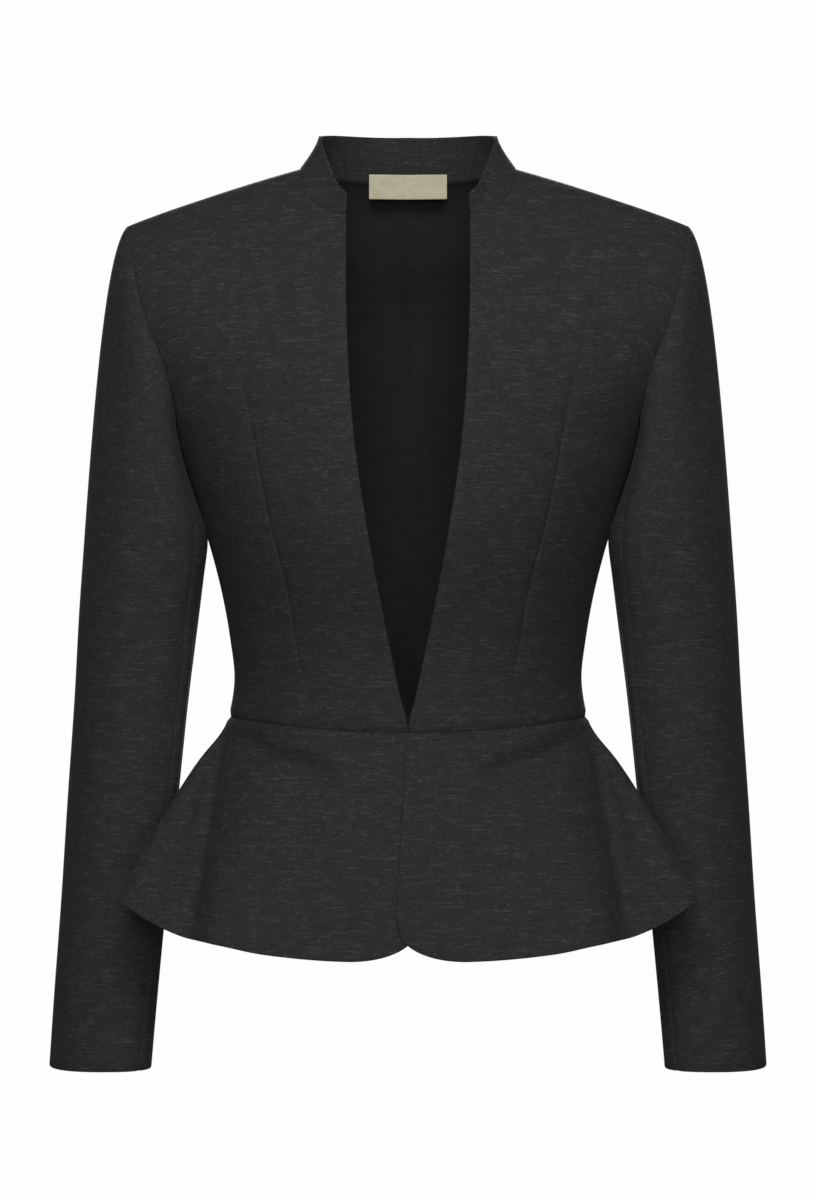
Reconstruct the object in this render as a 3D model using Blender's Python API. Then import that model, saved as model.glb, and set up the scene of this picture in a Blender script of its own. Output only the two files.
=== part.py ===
"""Peplum blazer: a fitted bodice with a deep V and a stand collar, two-piece sleeves and a flared peplum.

The cloth is a thin wall on a hollow worn form. The origin lies between the two neck points, level with
the shoulders: +Z is up, the front faces -Y and the wearer's left is +X. Sizes below are in millimetres.
"""

import math
from collections import namedtuple

import bpy
import numpy as np

NAME = "peplum_blazer"
MM = 0.001

# Cloth
WALL = 2.0
SEAM_GAP = 0.3
HALF_GAP = SEAM_GAP / 2
SHARP_ANGLE = 50.0
PIECE_SEAMS = {"first_row": None, "first_column": None, "last_column": None}

# Landmarks of the bodice
SIDE_Y = 8.0
CREST_TOP = 34.3
CREST_SLOPE = 0.335
CREST_BOW = 1.8
CREST_BOW_POWER = 6
NECK_POINT_X = 79.0
NECK_FRONT_X = 44.8
NECK_FRONT_Z = -29.7
NECK_BACK_Z = 3.0
SHOULDER_TIP_X = 205.0
ARMPIT_Z = -213.0
WAIST_SIDE_Z = -393.0
WAIST_FRONT_Z = -402.0
WAIST_BACK_Z = -396.0

# Roundness of the bodice: how fast it rolls over the shoulder, and how square its rings are
FRONT_ROLL = 235.0
BACK_ROLL = 140.0
NECK_ROLL_POWER = 0.7
TIP_ROLL_POWER = 0.5
BACK_NECK_RISE = 33.0
BACK_NECK_POWER = 3
BACK_NECK_FADE = 70.0
RING_POWER = 2.2

# Rows of the bodice: waist to armpit, then armpit to shoulder; the last share of those follows the neck
LOW_ROWS = 8
HIGH_ROWS = 11
NECK_ROWS = 4
FIRST_NECK = LOW_ROWS + HIGH_ROWS - NECK_ROWS
EDGE_COLUMNS = 4
SIDE_COLUMNS = 6

# Waist dart of each front
DART_HALF_WIDTH = 3.0
DART_DEPTH = 0.9
DART_LOW_Z = -392.0
DART_HIGH_Z = -112.0
DART_FADE = 45.0

# Sleeves
SLEEVE_TOP_Z = -279.0
CUFF_Z = -648.0
SLEEVE_POWER = 2.4
CAP_STEPS = (0.0, 0.12, 0.26, 0.42, 0.6, 0.8, 1.0)
TUBE_ROWS = 9
FRONT_SEAM = 8
BACK_SEAM = 15

# Peplum
PEPLUM_STEPS = (0.0, 0.1, 0.22, 0.36, 0.5, 0.64, 0.78, 0.9, 1.0)
PEPLUM_FRONT_COLUMNS = 28
PEPLUM_BACK_COLUMNS = 18
PEPLUM_CROWDING = 1.25
PEPLUM_BOW = 0.2
LAP_START = 0.1
LAP_WIDTH = 9.5
LAP_POWER = 0.8
LAP_FADE = 60.0
LAP_LIFT = 1.3
CORNER_WIDTH = 45.0
CORNER_RISE = 28.0

# Collar and label
COLLAR_STEPS = 4
COLLAR_GAP = 0.6
NECK_AXIS_Y = 5.0
LABEL_WIDTH = 58.0
LABEL_TOP_Z = 8.5
LABEL_BOTTOM_Z = -10.0
LABEL_THICKNESS = 0.8
LABEL_COLUMNS = 6
LABEL_ROWS = 6
LABEL_GAP = 0.5

# Looks
SUITING_COLOUR = (0.026, 0.026, 0.028, 1.0)
SUITING_ROUGHNESS = 0.85
LABEL_COLOUR = (0.42, 0.37, 0.25, 1.0)
LABEL_ROUGHNESS = 0.45

# Bodice rings. Above the armpit the half width is that of the whole ring, which the armhole cuts short.
Ring = namedtuple("Ring", "z half_width front back")
RINGS = (
    Ring(-404, 133.5, 105, 79),
    Ring(-393, 131.0, 105, 78),
    Ring(-366, 127.0, 107, 77),
    Ring(-337, 130.0, 112, 78),
    Ring(-308, 135.0, 121.5, 80),
    Ring(-279, 142.0, 132, 83),
    Ring(-250, 150.7, 138, 86),
    Ring(-213, 164.0, 137.5, 88),
    Ring(-190, 174.0, 136.5, 89),
    Ring(-159, 193.0, 136, 90),
    Ring(-134, 210.0, 136, 90),
    Ring(-107, 229.0, 136, 90),
    Ring(-63, 242.0, 136, 90),
    Ring(-34, 246.0, 136, 90),
    Ring(12, 250.0, 136, 90),
)

# The edge of the deep V, from the waist up
EdgePoint = namedtuple("EdgePoint", "z x")
FRONT_EDGE = (
    EdgePoint(-402.0, 0.0),
    EdgePoint(-398.5, 0.0),
    EdgePoint(-381.0, 4.4),
    EdgePoint(-365.0, 8.0),
    EdgePoint(-308.0, 19.8),
    EdgePoint(-252.0, 29.9),
    EdgePoint(-195.0, 37.9),
    EdgePoint(-139.0, 42.4),
    EdgePoint(-95.0, 44.0),
    EdgePoint(NECK_FRONT_Z, NECK_FRONT_X),
)

# The armhole seam as seen from the front
ARMHOLE = (
    EdgePoint(ARMPIT_Z, 164.0),
    EdgePoint(-190.0, 165.5),
    EdgePoint(-161.0, 169.6),
    EdgePoint(-136.0, 176.5),
    EdgePoint(-110.0, 187.0),
    EdgePoint(-66.0, 199.5),
    EdgePoint(-34.0, SHOULDER_TIP_X),
)

# The dart's line, drawn on up to the shoulder
DART = (
    EdgePoint(-404.0, 67.0),
    EdgePoint(-381.0, 71.0),
    EdgePoint(-356.0, 77.0),
    EdgePoint(-303.0, 86.0),
    EdgePoint(-246.0, 100.0),
    EdgePoint(-184.0, 112.0),
    EdgePoint(-115.0, 126.0),
    EdgePoint(0.0, 139.0),
)

# Sleeve sections from the cuff up; the skew moves the front of a section in and its back out
Section = namedtuple("Section", "z outer inner front back skew")
SLEEVE = (
    Section(CUFF_Z, 261.5, 187.6, -46, 42, 6),
    Section(-600, 258.3, 183.7, -46, 46, 7),
    Section(-527, 253.2, 176.8, -45, 53, 7),
    Section(-454, 248.9, 168.8, -44, 60, 7),
    Section(-381, 243.9, 161.4, -46, 65, 8),
    Section(-308, 239.6, 152.3, -52, 67, 9),
    Section(SLEEVE_TOP_Z, 237.2, 148.9, -56, 67, 10),
)

# How the sleeve head leaves the armhole, from the shoulder tip round to the armpit
Leave = namedtuple("Leave", "turn out forward down")
SLEEVE_HEAD = (
    Leave(0, 58, 0, 55),
    Leave(45, 53, 18, 60),
    Leave(90, 32, 24, 60),
    Leave(135, 0, 14, 52),
    Leave(160, -24, 9, 65),
    Leave(180, -20, 0, 66),
)

# Peplum stations: place round the waist in degrees from centre front, where the hem lies below it
# and how long the cloth is
Station = namedtuple("Station", "turn hem_x hem_y length")
Place = namedtuple("Place", ("walk", *Station._fields))
PEPLUM_FRONT = (
    Station(0, 0, -141, 165),
    Station(22, 52, -140, 167),
    Station(44, 100, -137, 172),
    Station(60, 126, -131, 177.5),
    Station(70.5, 141, -121, 181),
    Station(75.5, 149, -107, 179),
    Station(78.5, 157, -96, 176.5),
    Station(80.7, 169, -94, 176),
    Station(82.5, 185, -97, 176.5),
    Station(84.2, 199, -93, 174.2),
    Station(85.2, 207, -82, 170),
    Station(86.3, 203, -66, 163),
    Station(87.4, 188, -48, 158),
    Station(88.6, 171, -26, 157),
    Station(90, 165, 5, 157),
)
PEPLUM_BACK = (
    Station(90, 165, 5, 157),
    Station(94, 170, 34, 157),
    Station(98, 184, 60, 159),
    Station(102, 197, 82, 162),
    Station(106, 194, 101, 164),
    Station(114, 171, 117, 165),
    Station(125, 136, 130, 165),
    Station(142, 95, 142, 165),
    Station(161, 48, 149, 165),
    Station(180, 0, 152, 165),
)

# Collar band from centre back round to the front corner
Band = namedtuple("Band", "place lean rise")
COLLAR = (
    Band(0.0, 2.0, 33.2),
    Band(0.25, 6.0, 31.3),
    Band(0.5, 14.0, 24.0),
    Band(0.75, 14.0, 24.0),
    Band(0.9, 6.0, 19.0),
    Band(1.0, 0.0, 14.5),
)


def spline(rows, key, name, at):
    """The smooth curve of one named column against another, through every row, in rising order of the key."""
    knots = np.array([getattr(row, key) for row in rows], float)
    values = np.array([getattr(row, name) for row in rows], float)
    slopes = np.gradient(values, knots)
    at = np.clip(at, knots[0], knots[-1])
    low = np.clip(np.searchsorted(knots, at) - 1, 0, len(knots) - 2)
    span = knots[low + 1] - knots[low]
    part = (at - knots[low]) / span
    return hermite(values[low], slopes[low] * span, values[low + 1], slopes[low + 1] * span, part)


def hermite(start, leave, end, arrive, part):
    """The cubic from start to end that leaves and arrives along the given tangents."""
    rest = 1 - part
    return (
        start * (1 + 2 * part) * rest**2
        + leave * part * rest**2
        + end * part**2 * (3 - 2 * part)
        - arrive * part**2 * rest
    )


def ease(part):
    """A smooth step from 0 to 1."""
    part = np.clip(part, 0.0, 1.0)
    return part * part * (3 - 2 * part)


def unit(vectors):
    return vectors / np.linalg.norm(vectors, axis=-1, keepdims=True)


def crest_bow(x):
    """How far the shoulder line stands above a straight one."""
    along = np.clip((x - NECK_POINT_X) / (SHOULDER_TIP_X - NECK_POINT_X), 0, 1)
    return CREST_BOW * 4 * along * (1 - along)


def crest(x):
    """Height of the shoulder line above x."""
    return CREST_TOP - CREST_SLOPE * x + crest_bow(x)


def half_width(z):
    return spline(RINGS, "z", "half_width", z)


def body_y(x, z, front):
    """Depth of the bodice's outer face at a place seen from the front, on its front or its back."""
    below = crest(x) - z
    if not front:
        inside = np.clip(x / NECK_POINT_X, 0, 1)
        arch = CREST_SLOPE * NECK_POINT_X / 2 * (1 - inside) ** 2
        rise = BACK_NECK_RISE * (1 - inside**BACK_NECK_POWER)
        below = below - arch + rise * (1 - ease((NECK_BACK_Z - z) / BACK_NECK_FADE))
    roll = FRONT_ROLL if front else BACK_ROLL
    to_tip = ease((x - NECK_POINT_X) / (SHOULDER_TIP_X - NECK_POINT_X))
    power = NECK_ROLL_POWER + (TIP_ROLL_POWER - NECK_ROLL_POWER) * to_tip
    over = np.sin(math.pi / 2 * np.clip(below / roll, 0, 1)) ** power
    across = np.sqrt(np.clip(1 - np.clip(x / half_width(z), 0, 1) ** RING_POWER, 0, 1))
    depth = spline(RINGS, "z", "front" if front else "back", z)
    return SIDE_Y + (-depth if front else depth) * over * across


def panel_ends(front):
    """The (x, z) ends of each row of a bodice panel: on its centre edge or neck, and its side or armhole."""
    waist_z = WAIST_FRONT_Z if front else WAIST_BACK_Z
    neck_z = NECK_FRONT_Z if front else NECK_BACK_Z
    neck_x = NECK_FRONT_X if front else 0.0
    edge_rows = HIGH_ROWS - NECK_ROWS
    ends = []

    def centre_x(z):
        return max(0.0, float(spline(FRONT_EDGE, "z", "x", z))) if front else 0.0

    for row in range(LOW_ROWS):
        up = row / LOW_ROWS
        edge_z = waist_z + up * (ARMPIT_Z - waist_z)
        side_z = WAIST_SIDE_Z + up * (ARMPIT_Z - WAIST_SIDE_Z)
        ends.append((centre_x(edge_z), edge_z, float(half_width(side_z)), side_z))
    tip_z = crest(SHOULDER_TIP_X)
    for row in range(HIGH_ROWS + 1):
        up = (1 - math.cos(math.pi * row / HIGH_ROWS)) / 2
        arm_z = ARMPIT_Z + up * (tip_z - ARMPIT_Z)
        arm_x = float(spline(ARMHOLE, "z", "x", arm_z))
        if row <= edge_rows:
            edge_z = ARMPIT_Z + row / edge_rows * (neck_z - ARMPIT_Z)
            edge_x = centre_x(edge_z)
        else:
            turn = math.pi / 2 * (row - edge_rows) / NECK_ROWS
            edge_x = neck_x + (NECK_POINT_X - neck_x) * math.sin(turn)
            edge_z = neck_z + (crest(NECK_POINT_X) - neck_z) * (1 - math.cos(turn))
        ends.append((edge_x, edge_z, arm_x, arm_z))
    return ends


def body_panel(front):
    """Outer points of one bodice panel of the wearer's left, rows from waist to shoulder."""
    ends = panel_ends(front)
    grid = []
    for row, (edge_x, edge_z, side_x, side_z) in enumerate(ends):
        ring_edge, ring_side = float(half_width(edge_z)), float(half_width(side_z))
        turn_edge = math.asin(edge_x / ring_edge)
        turn_side = math.asin(min(1.0, side_x / ring_side))
        dart_z = (edge_z + side_z) / 2
        dart_turn = math.asin(float(spline(DART, "z", "x", dart_z)) / float(half_width(dart_z)))
        dart = (dart_turn - turn_edge) / (turn_side - turn_edge)
        beside = DART_HALF_WIDTH / (half_width(dart_z) * math.cos(dart_turn) * (turn_side - turn_edge))
        across = np.concatenate((
            np.linspace(0, dart - beside, EDGE_COLUMNS + 1),
            [dart],
            np.linspace(dart + beside, 1, SIDE_COLUMNS + 1),
        ))
        ring = ring_edge + across * (ring_side - ring_edge)
        x = ring * np.sin(turn_edge + across * (turn_side - turn_edge))
        x[0], x[-1] = edge_x, side_x
        up = row / (len(ends) - 1)
        z = edge_z + (side_z - edge_z) * ((x - edge_x) / (side_x - edge_x)) ** (2 - up)
        z += crest_bow(x) * up**CREST_BOW_POWER
        y = body_y(x, z, front)
        if row <= LOW_ROWS:
            y[-1] = SIDE_Y
        if row == len(ends) - 1:
            y[:] = SIDE_Y
        grid.append(np.stack((x, y, z), axis=-1))
    return np.array(grid)


def normals_of(grid, flip=False, ring=False):
    """Unit normals of a grid of points; a ring's columns join up."""
    padded = np.concatenate((grid[:, -1:], grid, grid[:, :1]), axis=1) if ring else grid
    along = np.gradient(padded, axis=1)
    if ring:
        along = along[:, 1:-1]
    up = np.gradient(grid, axis=0)
    found = unit(np.cross(along, up))
    return -found if flip else found


def body_normals(grid, front):
    """Normals of a bodice panel, made the same on both sides of each seam that it shares."""
    found = normals_of(grid, flip=not front)
    found[0, :, 2] = 0
    if not front:
        found[: FIRST_NECK + 1, 0, 0] = 0
    z = grid[: LOW_ROWS + 1, -1, 2]
    widening = (half_width(z + 1) - half_width(z - 1)) / 2
    found[: LOW_ROWS + 1, -1] = np.stack((np.ones_like(z), np.zeros_like(z), -widening), axis=-1)
    found[0, -1, 2] = 0
    found[-1] = (CREST_SLOPE, 0, 1)
    return unit(found)


def sleeve_grid(front, back):
    """Outer points of the whole sleeve: columns from the shoulder tip down the front, up the back."""
    ring = np.concatenate((front[: LOW_ROWS - 1 : -1, -1], back[LOW_ROWS + 1 : -1, -1]))
    count = len(ring)
    turn = 360.0 * np.arange(count) / count
    half_turn = np.where(turn > 180, 360 - turn, turn)
    facing = np.where(turn > 180, 1.0, -1.0)

    def section(z):
        size = {name: spline(SLEEVE, "z", name, z) for name in Section._fields[1:]}
        cosine, sine = np.cos(np.radians(turn)), np.sin(np.radians(turn))
        out = np.sign(cosine) * abs(cosine) ** (2 / SLEEVE_POWER)
        aside = np.sign(sine) * abs(sine) ** (2 / SLEEVE_POWER)
        middle, reach = (size["outer"] + size["inner"]) / 2, (size["outer"] - size["inner"]) / 2
        x = middle + out * reach - aside * size["skew"]
        y = (size["front"] + size["back"]) / 2 - aside * (size["back"] - size["front"]) / 2
        return np.stack((x, y, np.full(count, z)), axis=-1)

    top = section(SLEEVE_TOP_Z)
    slope = top - section(SLEEVE_TOP_Z - 1)
    leave = np.stack((
        spline(SLEEVE_HEAD, "turn", "out", half_turn),
        facing * spline(SLEEVE_HEAD, "turn", "forward", half_turn),
        -spline(SLEEVE_HEAD, "turn", "down", half_turn),
    ), axis=-1)
    arrive = slope * (top[:, 2:] - ring[:, 2:])
    rows = [hermite(ring, leave, top, arrive, step) for step in CAP_STEPS]
    for row in range(1, TUBE_ROWS + 1):
        rows.append(section(SLEEVE_TOP_Z + row / TUBE_ROWS * (CUFF_Z - SLEEVE_TOP_Z)))
    return np.array(rows)


def waist_point(turn, front):
    """A point of the waist seam at an angle from centre front."""
    across = abs(math.sin(math.radians(turn)))
    dip = (WAIST_FRONT_Z if front else WAIST_BACK_Z) - WAIST_SIDE_Z
    side_x = float(half_width(WAIST_SIDE_Z))
    x = side_x * across
    z = WAIST_SIDE_Z + dip * (1 - across**2)
    y = SIDE_Y if x == side_x else float(body_y(np.array(x), np.array(z), front))
    return np.array((x, y, z))


def peplum_grid(stations, front, lift):
    """Outer points of a left peplum piece: rows from waist to hem, columns away from the front."""
    count = PEPLUM_FRONT_COLUMNS if front else PEPLUM_BACK_COLUMNS
    walk = [0.0]
    for a, b in zip(stations, stations[1:]):
        walk.append(walk[-1] + math.hypot(b.hem_x - a.hem_x, b.hem_y - a.hem_y))
    places = [Place(w, *row) for w, row in zip(walk, stations)]
    columns = []
    crowding = PEPLUM_CROWDING if front else 1.0
    for reach in walk[-1] * np.linspace(0, 1, count + 1) ** crowding:
        waist = waist_point(float(spline(places, "walk", "turn", reach)), front)
        *hem, length = (float(spline(places, "walk", name, reach)) for name in ("hem_x", "hem_y", "length"))
        hem = np.array(hem)
        drop = math.sqrt(length**2 - np.sum((hem - waist[:2]) ** 2))
        corner = np.clip(1 - reach / CORNER_WIDTH, 0, 1) if front else 0.0
        trim = 1 - CORNER_RISE * (1 - math.sqrt(1 - corner**2)) / drop
        column = []
        for step in trim * np.array(PEPLUM_STEPS):
            x, y = waist[:2] + (hem - waist[:2]) * step * (1 + PEPLUM_BOW * (1 - step))
            if front:
                near = 1 - ease(reach / LAP_FADE)
                past = max(0.0, (step - LAP_START) / (1 - LAP_START))
                x -= LAP_WIDTH * past**LAP_POWER * near
                y += lift * near * ease(step / LAP_START)
            column.append((x, y, waist[2] - drop * step))
        columns.append(column)
    return np.array(columns).transpose(1, 0, 2)


def peplum_normals(grid, front):
    """Normals of a peplum piece, square to the side seam and to centre back."""
    found = normals_of(grid, flip=True)
    found[0, :, 2] = 0
    if front:
        found[:, -1] = (1, 0, 0)
    else:
        found[:, 0] = (1, 0, 0)
        found[:, -1, 0] = 0
    return unit(found)


def collar_grid(front, back):
    """Outer points of the collar band: from the left front corner round the back, rows from seam to top."""
    base = np.concatenate((front[FIRST_NECK:, 0], back[FIRST_NECK:-1, 0][::-1]))
    place = np.linspace(1, 0, len(base))
    outward = unit(base[:, :2] - (0, NECK_AXIS_Y))
    rows = []
    for step in np.linspace(0, 1, COLLAR_STEPS + 1):
        row = base.copy()
        row[:, :2] -= outward * spline(COLLAR, "place", "lean", place)[:, None] * step
        row[:, 2] += spline(COLLAR, "place", "rise", place) * step
        rows.append(row)
    return mirrored_on(np.array(rows))


def mirrored_on(half):
    """A half grid that ends at the centre, carried on over the other side."""
    other = half[:, -2::-1] * (-1, 1, 1)
    return np.concatenate((half, other), axis=1)


def label_grid(collar_inner):
    """Face of the label towards the neck: the collar's inner points, moved in and hung straight."""
    half = collar_inner.shape[1] // 2
    centre, aside = collar_inner[:, half], collar_inner[:, half - 1]
    centre_y, aside_y = (float(np.interp(LABEL_TOP_Z, c[:, 2], c[:, 1])) for c in (centre, aside))
    away = LABEL_GAP + LABEL_THICKNESS
    rows = []
    for z in np.linspace(LABEL_BOTTOM_Z, LABEL_TOP_Z, LABEL_ROWS + 1):
        row = []
        for x in np.linspace(-LABEL_WIDTH / 2, LABEL_WIDTH / 2, LABEL_COLUMNS + 1):
            row.append((x, centre_y + (aside_y - centre_y) * abs(x / aside[1, 0]) - away, z))
        rows.append(row)
    return np.array(rows)


def pulled_back(grid, gaps, gap=HALF_GAP):
    """The grid with the named edges drawn in by half a seam gap; a corner parts an edge in two."""
    drawn = grid.copy()
    sides = {
        "first_row": (grid[0], grid[1], drawn[0]),
        "last_row": (grid[-1], grid[-2], drawn[-1]),
        "first_column": (grid[:, 0], grid[:, 1], drawn[:, 0]),
        "last_column": (grid[:, -1], grid[:, -2], drawn[:, -1]),
    }
    for name, corner in gaps.items():
        edge, beside, moved = sides[name]
        stretches = [slice(None)] if corner is None else [slice(0, corner + 1), slice(corner, None)]
        for stretch in stretches:
            along = unit(np.gradient(edge[stretch], axis=0))
            inward = beside[stretch] - edge[stretch]
            inward = inward - along * np.sum(inward * along, axis=-1, keepdims=True)
            moved[stretch] += gap * unit(inward)
    return drawn


def triangles(points, quads):
    """Each quad cut along its shorter diagonal, so that mirror images are cut alike."""
    a, b, c, d = quads.T
    first = np.linalg.norm(points[a] - points[c], axis=-1) <= np.linalg.norm(points[b] - points[d], axis=-1)
    one = np.where(first[:, None], np.stack((a, b, c), axis=-1), np.stack((a, b, d), axis=-1))
    two = np.where(first[:, None], np.stack((a, c, d), axis=-1), np.stack((b, c, d), axis=-1))
    return np.concatenate((one, two))


def cloth_mesh(name, outer, inner):
    """A closed wall between two grids of points, with the first grid on its outer side."""
    rows, columns = outer.shape[:2]
    count = rows * columns
    index = np.arange(count).reshape(rows, columns)
    quads = np.stack((index[:-1, :-1], index[:-1, 1:], index[1:, 1:], index[1:, :-1]), axis=-1).reshape(-1, 4)
    loop = np.concatenate((index[0, :-1], index[:-1, -1], index[-1, :0:-1], index[:0:-1, 0]))
    after = np.roll(loop, -1)
    rim = np.stack((after, loop, loop + count, after + count), axis=-1)
    points = np.concatenate((outer.reshape(-1, 3), inner.reshape(-1, 3)))
    face = triangles(points, quads)
    faces = np.concatenate((face, face[:, ::-1] + count, triangles(points, rim)))
    facing = np.cross(points[face[:, 1]] - points[face[:, 0]], points[face[:, 2]] - points[face[:, 0]])
    through = (points[:count] - points[count:])[face[:, 0]]
    if np.sum(facing * through) < 0:
        faces = faces[:, ::-1]
    mesh = bpy.data.meshes.new(name)
    mesh.from_pydata((points * MM).tolist(), [], faces.tolist())
    mesh.shade_smooth()
    mesh.set_sharp_from_angle(angle=math.radians(SHARP_ANGLE))
    return mesh


def add_cloth(collection, name, outer, inner, material):
    mesh = cloth_mesh(name, outer, inner)
    mesh.materials.append(material)
    piece = bpy.data.objects.new(name, mesh)
    collection.objects.link(piece)
    return piece


def add_pair(collection, name, outer, inner, material):
    """The piece of the wearer's left and its mirror image."""
    add_cloth(collection, name + "_left", outer, inner, material)
    add_cloth(collection, name + "_right", outer * (-1, 1, 1), inner * (-1, 1, 1), material)


def cloth_material(name, colour, roughness):
    material = bpy.data.materials.new(name)
    material.use_nodes = True
    shader = material.node_tree.nodes["Principled BSDF"]
    shader.inputs["Base Color"].default_value = colour
    shader.inputs["Roughness"].default_value = roughness
    return material


def joined_normals(a, b):
    """The shared normal of two pieces at a seam; where they fold back on each other each keeps its own."""
    agree = np.sum(a * b, axis=-1, keepdims=True) > 0
    return unit(np.where(agree, a + b, a)), unit(np.where(agree, a + b, b))


def add_bodice_and_sleeves(collection, suiting):
    front, back = body_panel(True), body_panel(False)
    front_normals, back_normals = body_normals(front, True), body_normals(back, False)
    sleeve = sleeve_grid(front, back)
    sleeve_normals = normals_of(sleeve, ring=True)
    collar = collar_grid(front, back)
    collar_normals = normals_of(collar)
    collar_normals[:, collar.shape[1] // 2, 0] = 0
    collar_normals = unit(collar_normals)

    for row in range(HIGH_ROWS + 1):
        column = HIGH_ROWS - row
        front_normals[LOW_ROWS + row, -1], sleeve_normals[0, column] = joined_normals(
            front_normals[LOW_ROWS + row, -1], sleeve_normals[0, column]
        )
    for row in range(1, HIGH_ROWS):
        column = HIGH_ROWS + row
        back_normals[LOW_ROWS + row, -1], sleeve_normals[0, column] = joined_normals(
            back_normals[LOW_ROWS + row, -1], sleeve_normals[0, column]
        )
    back_normals[LOW_ROWS, -1] = front_normals[LOW_ROWS, -1]
    back_normals[-1, -1] = front_normals[-1, -1]

    for row in range(NECK_ROWS + 1):
        front_normals[FIRST_NECK + row, 0], collar_normals[0, row] = joined_normals(
            front_normals[FIRST_NECK + row, 0], collar_normals[0, row]
        )
        back_column = 2 * NECK_ROWS - row
        if row < NECK_ROWS:
            back_normals[FIRST_NECK + row, 0], collar_normals[0, back_column] = joined_normals(
                back_normals[FIRST_NECK + row, 0], collar_normals[0, back_column]
            )
    back_normals[-1, 0] = front_normals[-1, 0]
    half = collar.shape[1] // 2
    collar_normals[0, half + 1 :] = collar_normals[0, half - 1 :: -1] * (-1, 1, 1)

    for name, grid, normals in (("front", front, front_normals), ("back", back, back_normals)):
        seams = {"first_row": None, "last_row": None, "first_column": FIRST_NECK, "last_column": LOW_ROWS}
        outer = pulled_back(grid, seams)
        inner = outer - WALL * normals
        if name == "front":
            z = outer[:, EDGE_COLUMNS + 1, 2]
            groove = DART_DEPTH * ease((z - DART_LOW_Z) / DART_FADE) * ease((DART_HIGH_Z - z) / DART_FADE)
            outer[:, EDGE_COLUMNS + 1] -= groove[:, None] * normals[:, EDGE_COLUMNS + 1]
        add_pair(collection, name, outer, inner, suiting)

    count = sleeve.shape[1]
    upper = [k % count for k in range(BACK_SEAM, count + FRONT_SEAM + 1)]
    under = list(range(FRONT_SEAM, BACK_SEAM + 1))
    for name, columns in (("upper_sleeve", upper), ("under_sleeve", under)):
        outer = pulled_back(sleeve[:, columns], PIECE_SEAMS)
        inner = outer - WALL * sleeve_normals[:, columns]
        add_pair(collection, name, outer, inner, suiting)

    outer = pulled_back(collar, {"first_row": None}, COLLAR_GAP)
    inner = outer - WALL * collar_normals
    add_cloth(collection, "collar", outer, inner, suiting)
    return inner


def add_peplum(collection, suiting):
    for side, sign, lift in (("left", 1, -LAP_LIFT), ("right", -1, LAP_LIFT)):
        grid = peplum_grid(PEPLUM_FRONT, True, lift)
        outer = pulled_back(grid, PIECE_SEAMS)
        inner = outer - WALL * peplum_normals(grid, True)
        mirror = (sign, 1, 1)
        add_cloth(collection, f"peplum_front_{side}", outer * mirror, inner * mirror, suiting)
    grid = peplum_grid(PEPLUM_BACK, False, 0.0)
    outer = pulled_back(grid, PIECE_SEAMS)
    add_pair(collection, "peplum_back", outer, outer - WALL * peplum_normals(grid, False), suiting)


def add_label(collection, collar_inner):
    satin = cloth_material("label_satin", LABEL_COLOUR, LABEL_ROUGHNESS)
    face = label_grid(collar_inner)
    add_cloth(collection, "label", face, face + (0, LABEL_THICKNESS, 0), satin)


def main():
    for old in list(bpy.data.objects):
        bpy.data.objects.remove(old, do_unlink=True)
    collection = bpy.data.collections.new(NAME)
    bpy.context.scene.collection.children.link(collection)
    suiting = cloth_material("suiting", SUITING_COLOUR, SUITING_ROUGHNESS)
    collar_inner = add_bodice_and_sleeves(collection, suiting)
    add_peplum(collection, suiting)
    add_label(collection, collar_inner)


main()
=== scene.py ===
"""Peplum blazer, dressed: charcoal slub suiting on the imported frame, seen square from the front.

Every piece is a thin shell on the form of its solid. Sizes below are in millimetres unless they say metres;
the origin lies between the two neck points, +Z is up, the front faces -Y and the wearer's left is +X.
"""

import math
from collections import namedtuple

import bpy
import numpy as np
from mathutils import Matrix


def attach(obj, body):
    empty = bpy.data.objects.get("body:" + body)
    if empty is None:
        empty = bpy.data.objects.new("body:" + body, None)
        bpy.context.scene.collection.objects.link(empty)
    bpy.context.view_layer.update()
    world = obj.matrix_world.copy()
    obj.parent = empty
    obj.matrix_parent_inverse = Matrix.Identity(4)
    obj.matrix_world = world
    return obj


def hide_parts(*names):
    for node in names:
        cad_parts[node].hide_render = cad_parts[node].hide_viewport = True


MM = 0.001
MIRROR = (-1, 1, 1)

# Fineness: how many times finer the grids here are than those of the solids
FINE = 5

# Cloth
WALL = 2.0
SEAM_LAP = 0.12
WAIST_LAP = 0.3
EDGE_ROUND = 1.0
SEAM_ROUND = 0.5
ARMHOLE_ROUND = 0.2
RIM_STEPS = 6

# Landmarks of the bodice
SIDE_Y = 8.0
CREST_TOP = 34.3
CREST_SLOPE = 0.335
CREST_BOW = 1.8
CREST_BOW_POWER = 6
NECK_POINT_X = 79.0
NECK_FRONT_X = 44.8
NECK_FRONT_Z = -29.7
NECK_BACK_Z = 3.0
SHOULDER_TIP_X = 205.0
ARMPIT_Z = -213.0
WAIST_SIDE_Z = -393.0
WAIST_FRONT_Z = -402.0
WAIST_BACK_Z = -396.0

# Roundness of the bodice
FRONT_ROLL = 235.0
BACK_ROLL = 140.0
NECK_ROLL_POWER = 0.7
TIP_ROLL_POWER = 0.5
BACK_NECK_RISE = 33.0
BACK_NECK_POWER = 3
BACK_NECK_FADE = 70.0
RING_POWER = 2.2

# Rows and columns of the bodice
LOW_ROWS = 8 * FINE
HIGH_ROWS = 11 * FINE
NECK_ROWS = 4 * FINE
FIRST_NECK = LOW_ROWS + HIGH_ROWS - NECK_ROWS
EDGE_COLUMNS = 4 * FINE
SIDE_COLUMNS = 6 * FINE
DART_COLUMNS = (-0.5, -0.2, 0.0, 0.2, 0.5)

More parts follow.
